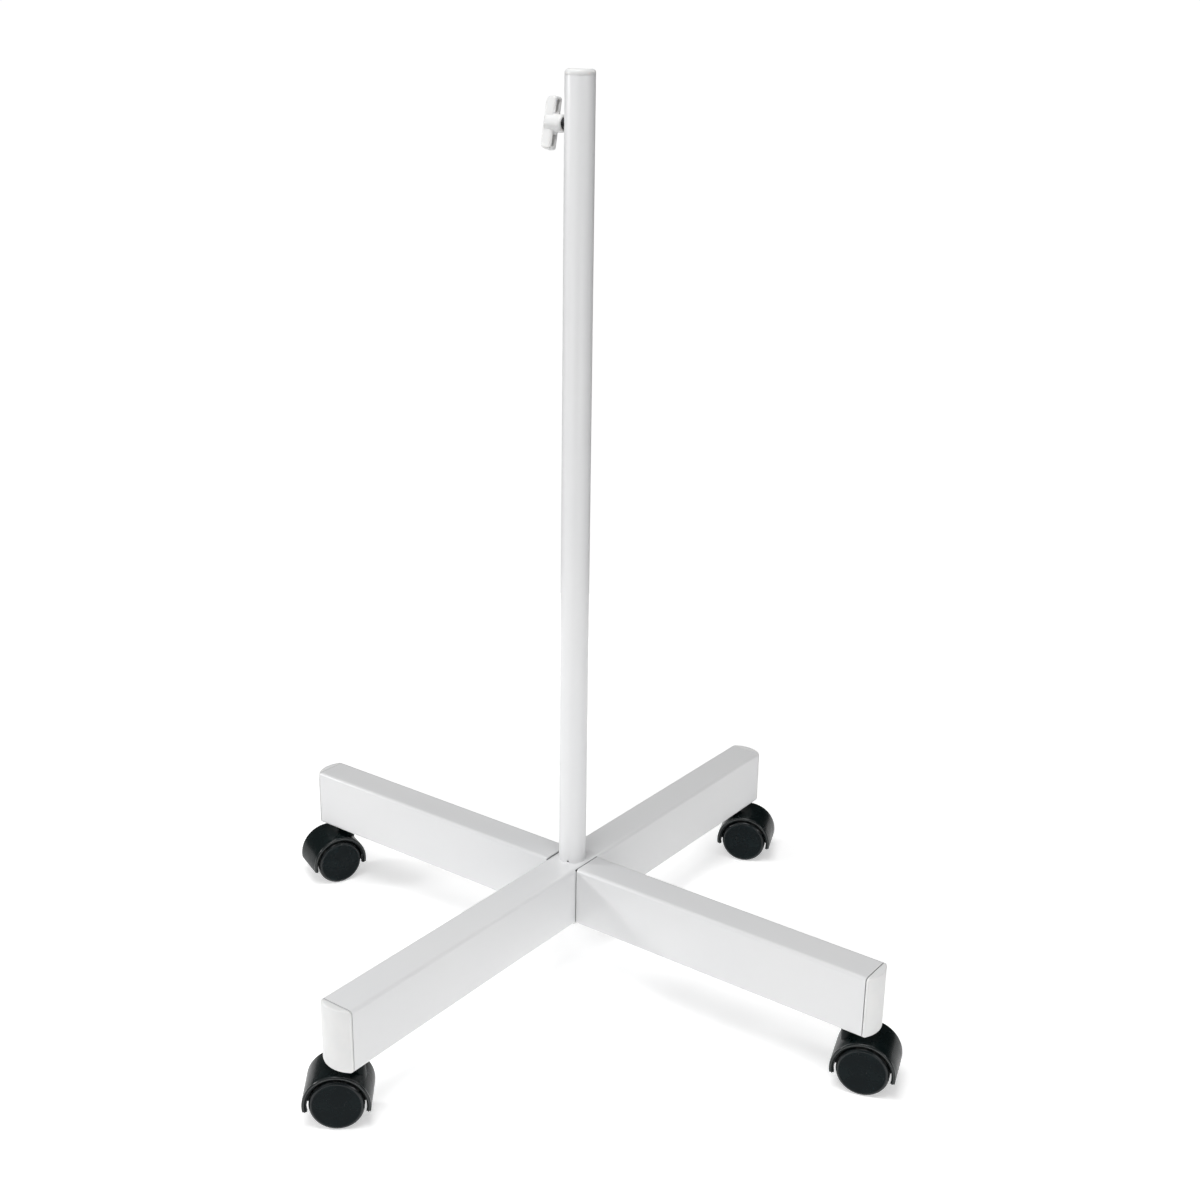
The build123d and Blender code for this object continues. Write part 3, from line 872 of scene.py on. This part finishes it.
def caster_axes(corner):
    """A caster's own axes at rest: X along its trail, Y along its axle, origin on the floor."""
    swivel = Vector(JOINTS["swivel_" + corner]["pos_m"])
    axle = Vector(JOINTS[f"roll_{corner}_a"]["pos_m"])
    x = axle - swivel
    x.z = 0
    x.normalize()
    z = Vector((0, 0, 1))
    return axes(Vector((swivel.x, swivel.y, 0)), x, z.cross(x), z)


def hood_outline():
    """The hood's wall in a plane through the axle, as a loop of (radius, distance along axle).
    A roll runs round each side opening, with a narrow flange set back inside it."""
    inner_wall = HOOD_RADIUS - HOOD_WALL
    roll_middle = (HOOD_RADIUS - ROLL_RADIUS, HOOD_FACE - ROLL_RADIUS)
    roll_inside = HOOD_RADIUS - 2 * ROLL_RADIUS
    flange_face = HOOD_FACE - FLANGE_SETBACK
    flange_back = flange_face - FLANGE_THICKNESS
    half = [(HOOD_RADIUS, 0), (HOOD_RADIUS, roll_middle[1] / 2)]
    half += arc(roll_middle, ROLL_RADIUS, 0, 180, 14)
    half += [(roll_inside, flange_face), (HOOD_INSIDE, flange_face), (HOOD_INSIDE, flange_back)]
    half += [(inner_wall, flange_back), (inner_wall, 0)]
    other = [(radius, -along) for radius, along in reversed(half[1:-1])]
    return half + other


def outline_normals(outline):
    """Outward normals of a loop of points, by its neighbouring edges."""
    count = len(outline)
    area = 0
    for i in range(count):
        (ax, ay), (bx, by) = outline[i], outline[(i + 1) % count]
        area += ax * by - bx * ay
    sign = 1 if area > 0 else -1
    normals = []
    for i in range(count):
        before = Vector(outline[i]) - Vector(outline[i - 1])
        after = Vector(outline[(i + 1) % count]) - Vector(outline[i])
        along = before.normalized() + after.normalized()
        normals.append(Vector((along.y, -along.x)).normalized() * sign)
    return normals


def tip_setback(radius, along):
    """How far the hood's tip is rounded back at a point of its section."""
    setback = 0
    for over in (radius - (HOOD_RADIUS - TIP_CORNER), abs(along) - (HOOD_FACE - TIP_CORNER)):
        reach = min(max(over, 0), TIP_CORNER)
        setback += TIP_CORNER - math.sqrt(TIP_CORNER**2 - reach**2)
    return min(setback, 2 * TIP_CORNER)


def hood_arch():
    """The half-round cover across both wheels, swept round the axle, with rounded tips."""
    outline = hood_outline()
    normals = outline_normals(outline)
    tip_steps = 4
    rings = []
    for step in range(tip_steps + 1):
        turn = math.radians(90 * step / tip_steps)
        rings.append((TIP_EDGE * (1 - math.sin(turn)), TIP_EDGE * (1 - math.cos(turn)), 0))
    for share in (0.25, 0.5, 0.75):
        rings.append((0, TIP_EDGE, share))
    points, numbers = [], []

    def add_ring(inset, angles):
        ring = []
        for (radius, along), normal, angle in zip(outline, normals, angles):
            r = radius - normal.x * inset
            a = along - normal.y * inset
            turn = math.radians(angle)
            ring.append(len(points))
            points.append((TRAIL + r * math.cos(turn), a, WHEEL_RADIUS + r * math.sin(turn)))
        numbers.append(ring)

    def tip_angles(advance, share, mirrored):
        result = []
        for radius, along in outline:
            back = (tip_setback(radius, along) + advance) / radius
            angle = -HOOD_OVERHANG + math.degrees(back)
            angle += share * (HOOD_SETTLE - HOOD_OVERHANG - angle)
            result.append(180 - angle if mirrored else angle)
        return result

    for inset, advance, share in rings:
        add_ring(inset, tip_angles(advance, share, False))
    first = HOOD_SETTLE - HOOD_OVERHANG
    last = 180 - first
    count = 60
    for step in range(count + 1):
        add_ring(0, [first + (last - first) * step / count] * len(outline))
    for inset, advance, share in reversed(rings):
        add_ring(inset, tip_angles(advance, share, True))
    faces = []
    for ring_a, ring_b in zip(numbers, numbers[1:]):
        faces += bridge(ring_a, ring_b)
    faces.append(tuple(numbers[0]))
    faces.append(tuple(reversed(numbers[-1])))
    return mesh_from("hood_arch", points, faces)


def hood_web():
    """The plate between the two wheels, round above and flat below the axle."""
    radius = HOOD_RADIUS - HOOD_WALL / 2
    drop = math.degrees(math.asin(AXLE_BOSS_RADIUS / radius))
    outline = arc((TRAIL, WHEEL_RADIUS), radius, -drop, 180 + drop, 60)
    points, rings = [], []
    middle = Vector((TRAIL, WHEEL_RADIUS + radius / 3))
    inner = WEB_HALF - WEB_EDGE
    for inset, across in ((WEB_EDGE, -WEB_HALF), (0, -inner), (0, inner), (WEB_EDGE, WEB_HALF)):
        ring = []
        for x, z in outline:
            inward = (middle - Vector((x, z))).normalized() * inset
            ring.append(len(points))
            points.append((x + inward.x, across, z + inward.y))
        rings.append(ring)
    faces = []
    for ring_a, ring_b in zip(rings, rings[1:]):
        faces += bridge(ring_a, ring_b)
    faces.append(tuple(rings[0]))
    faces.append(tuple(reversed(rings[-1])))
    return mesh_from("hood_web", points, faces)


def hood_mesh():
    """Arch, web, stem boss and axle boss as one moulding, bored for the stem's pin and the axle."""
    still = Matrix.Identity(4)
    across = axes(
        Vector((TRAIL * MM, 0, WHEEL_RADIUS * MM)),
        Vector((1, 0, 0)),
        Vector((0, 0, 1)),
        Vector((0, -1, 0)),
    )
    boss = round_bar("stem_boss", BOSS_RADIUS, BOSS_LOW, BOSS_TOP, BOSS_EDGE)
    axle_boss = round_bar("axle_boss", AXLE_BOSS_RADIUS, -AXLE_BOSS_HALF, AXLE_BOSS_HALF, AXLE_BOSS_EDGE)
    pivot_hole = round_bar("pivot_hole", PIVOT_HOLE, PIVOT_LOW, BOSS_TOP + 5)
    axle_hole = round_bar("axle_hole", AXLE_HOLE, -2 * AXLE_BOSS_HALF, 2 * AXLE_BOSS_HALF)
    steps = [
        ("UNION", hood_web(), still),
        ("UNION", boss, still),
        ("UNION", axle_boss, across),
        ("DIFFERENCE", pivot_hole, still),
        ("DIFFERENCE", axle_hole, across),
    ]
    mesh = combined(hood_arch(), steps)
    smooth(mesh, 42)
    return mesh


def wheel_mesh():
    """A moulded wheel on Z with its outer face up: domed disc with a small pip at its middle, soft
    edge, ribbed hollow inside."""
    dome_radius = WHEEL_RADIUS - WHEEL_EDGE
    outline = [(0, WHEEL_OUTSIDE), (0.5, WHEEL_OUTSIDE - 0.03), (0.9, WHEEL_OUTSIDE - 0.13)]
    outline.append((PIP_RADIUS, WHEEL_FACE))
    for step in range(1, 15):
        radius = PIP_RADIUS + (dome_radius - PIP_RADIUS) * step / 14
        outline.append((radius, WHEEL_FACE - WHEEL_DOME * (radius / dome_radius) ** 2.4))
    outline += arc((dome_radius, WHEEL_FACE - WHEEL_DOME - WHEEL_EDGE), WHEEL_EDGE, 84, 0, 12)
    tread_low = WHEEL_INSIDE + TREAD_ROUNDING
    outline += [(WHEEL_RADIUS, WHEEL_INSIDE + 4), (WHEEL_RADIUS, tread_low)]
    outline += arc((WHEEL_RADIUS - TREAD_ROUNDING, tread_low), TREAD_ROUNDING, 0, -90, 5)[1:]
    rim_inside = WHEEL_RADIUS - WHEEL_RIM
    lip = LIP_ROUNDING
    outline += arc((rim_inside + lip, WHEEL_INSIDE + lip), lip, -90, -180, 3)
    fillet = RECESS_ROUNDING
    outline += arc((rim_inside - fillet, WHEEL_RECESS - fillet), fillet, 0, 90, 4)
    outline += arc((HUB_RADIUS + fillet, WHEEL_RECESS - fillet), fillet, 90, 180, 4)
    outline += arc((HUB_RADIUS - lip, WHEEL_INSIDE + lip), lip, 0, -90, 3)
    outline += [(2.9, WHEEL_INSIDE), (WHEEL_BORE, WHEEL_INSIDE + WHEEL_BORE_CHAMFER)]
    outline += [(WHEEL_BORE, WHEEL_BORE_END), (0, WHEEL_BORE_END)]
    disc = turned("wheel", outline, 128)
    rib = block(
        "rib",
        (HUB_RADIUS - 0.6, -RIB_HALF, RIB_LOW),
        (rim_inside + 0.6, RIB_HALF, WHEEL_RECESS + 0.5),
    )
    steps = []
    for number in range(RIB_COUNT):
        turn = Matrix.Rotation(2 * math.pi * number / RIB_COUNT, 4, "Z")
        steps.append(("UNION", rib.copy(), turn))
    mesh = combined(disc, steps)
    smooth(mesh, 38)
    return mesh


def make_casters():
    """Four hoods and eight wheels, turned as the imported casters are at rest."""
    hood = hood_mesh()
    wheel = wheel_mesh()
    x = Vector((1, 0, 0))
    place = Vector((TRAIL * MM, 0, WHEEL_RADIUS * MM))
    for corner in CORNERS:
        own = caster_axes(corner)
        body = "caster_" + corner
        piece("hood_" + corner, hood.copy(), "black_hood_plastic", body, "caster_hood_" + corner, own)
        for side, out in (("a", 1), ("b", -1)):
            outward = Vector((0, out, 0))
            matrix = own @ axes(place, x, outward.cross(x), outward)
            name = f"wheel_{corner}_{side}"
            piece(name, wheel.copy(), "black_wheel_plastic", name, "caster_" + name, matrix)


finish_cad_nodes()
make_side_legs()
make_end_caps()
make_collar()
make_wing_screw()
make_casters()

# ---------------------------------------------------------------- floor, light and camera

FLOOR_RADIUS = 0.95
# A light table keeps the floor pale under modest light from above; it glows more far out.
FLOOR_GLOW = 0.43
FAR_GLOW = 0.68
GLOW_RISE = (0.35, 0.75)      # radii between which the glow rises


def make_floor():
    """A round pale floor under the wheels."""
    mesh = turned("floor", [(0, 0), (FLOOR_RADIUS / MM, 0)], 128)
    m = Nodes("pale_floor")
    m.constants(Roughness=0.9)
    glow = m.between(m.radius(), *GLOW_RISE, FLOOR_GLOW, FAR_GLOW)
    m.link(glow, m.shader.inputs["Emission Strength"])
    m.shader.inputs["Emission Color"].default_value = (1.0, 1.0, 1.0, 1.0)
    m.colour(m.blend(m.noise(3, 2), (0.89, 0.89, 0.89), (0.91, 0.91, 0.91)))
    link("floor", mesh, m.material)


def area_light(name, place, aim, size, power):
    """A square softbox at a place, facing a point."""
    data = bpy.data.lights.new(name, "AREA")
    data.shape = "SQUARE"
    data.size = size
    data.energy = power
    light = bpy.data.objects.new(name, data)
    light.location = place
    light.rotation_euler = (Vector(aim) - Vector(place)).to_track_quat("-Z", "Y").to_euler()
    bpy.context.scene.collection.objects.link(light)


SKY_TOWARDS = Vector((-0.325, -0.948, 0))      # the bright side of the studio: left and front
SKY_RISE = (-0.9, -0.05)      # cosines of the angle to it, between which the sky brightens
SKY_DIM = 0.04
SKY_BRIGHT = 0.2
ZENITH_RISE = (0.4, 1.0)      # cosines of the angle to straight up, as the next pair
ZENITH = 0.1                  # added straight up
HORIZON = (-0.06, 0.02)
BELOW_FLOOR = 0.12            # share of the light that stays below the horizon
SEEN_WORLD = 1.02             # what the camera itself sees


def make_world():
    """A studio that is bright to the left and above and dim to the right; the camera sees it pale."""
    world = bpy.data.worlds.new("studio")
    bpy.context.scene.world = world
    world.use_nodes = True
    tree = world.node_tree
    background = tree.nodes["Background"]
    background.inputs["Color"].default_value = (1.0, 1.0, 1.0, 1.0)
    direction = tree.nodes.new("ShaderNodeTexCoord").outputs["Generated"]

    def ramp(towards, low, high, at_low, at_high):
        facing = tree.nodes.new("ShaderNodeVectorMath")
        facing.operation = "DOT_PRODUCT"
        facing.inputs[1].default_value = towards.normalized()
        tree.links.new(direction, facing.inputs[0])
        return range_map(tree, facing.outputs["Value"], low, high, at_low, at_high)

    def joined(operation, first, second):
        node = tree.nodes.new("ShaderNodeMath")
        node.operation = operation
        tree.links.new(first, node.inputs[0])
        tree.links.new(second, node.inputs[1])
        return node.outputs["Value"]

    up = Vector((0, 0, 1))
    sky = ramp(SKY_TOWARDS, *SKY_RISE, SKY_DIM, SKY_BRIGHT)
    light = joined("ADD", sky, ramp(up, *ZENITH_RISE, 0, ZENITH))
    light = joined("MULTIPLY", light, ramp(up, *HORIZON, BELOW_FLOOR, 1.0))
    seen = tree.nodes.new("ShaderNodeMix")
    path = tree.nodes.new("ShaderNodeLightPath")
    tree.links.new(path.outputs["Is Camera Ray"], seen.inputs["Factor"])
    tree.links.new(light, seen.inputs["A"])
    seen.inputs["B"].default_value = SEEN_WORLD
    tree.links.new(seen.outputs["Result"], background.inputs["Strength"])


LIGHTS_AIM = (0, 0, 0.1)
# Each softbox's name, place, side and radiance, in metres and W/(sr m2).
SOFTBOXES = (
    ("front_box", (0.0, -0.95, 0.42), 0.5, 0.7),
    ("right_box", (0.85, -0.45, 0.32), 0.35, 1.9),
    ("top_box", (0.2, -0.55, 1.8), 0.8, 7.6),
    ("left_box", (-1.35, -0.95, 0.85), 0.3, 33.0),
    ("right_spot", (1.55, 0.05, 0.83), 0.22, 18.0),
    ("left_ridge_box", (-1.08, -0.1, 1.42), 0.45, 1.0),
    ("back_ridge_box", (0.3, 1.15, 1.34), 0.4, 3.0),
)


def make_light():
    """The studio and its softboxes."""
    make_world()
    for name, place, size, radiance in SOFTBOXES:
        area_light(name, place, LIGHTS_AIM, size, radiance * math.pi * size**2)
    bpy.context.scene.view_settings.view_transform = "Standard"


CAMERA_PLACE = (0.7202, -0.9545, 0.7460)
CAMERA_YAW = 36.102           # degrees, as the pitch and the roll
CAMERA_PITCH = 19.392
CAMERA_ROLL = 0.898
CAMERA_LENS = 49.03           # millimetres


def make_camera():
    """The camera at the photograph's viewing angle, looking a little down and slightly rolled."""
    yaw, pitch, roll = (math.radians(v) for v in (CAMERA_YAW, CAMERA_PITCH, CAMERA_ROLL))
    level = Vector((-math.sin(yaw), math.cos(yaw), 0))
    forward = level * math.cos(pitch) - Vector((0, 0, math.sin(pitch)))
    right = Vector((math.cos(yaw), math.sin(yaw), 0))
    up = right.cross(forward)
    rolled_right = right * math.cos(roll) + up * math.sin(roll)
    rolled_up = up * math.cos(roll) - right * math.sin(roll)
    data = bpy.data.cameras.new("camera")
    data.lens = CAMERA_LENS
    data.sensor_width = 36
    camera = bpy.data.objects.new("camera", data)
    camera.matrix_world = axes(Vector(CAMERA_PLACE), rolled_right, rolled_up, -forward)
    bpy.context.scene.collection.objects.link(camera)
    bpy.context.scene.camera = camera


make_floor()
make_light()
make_camera()
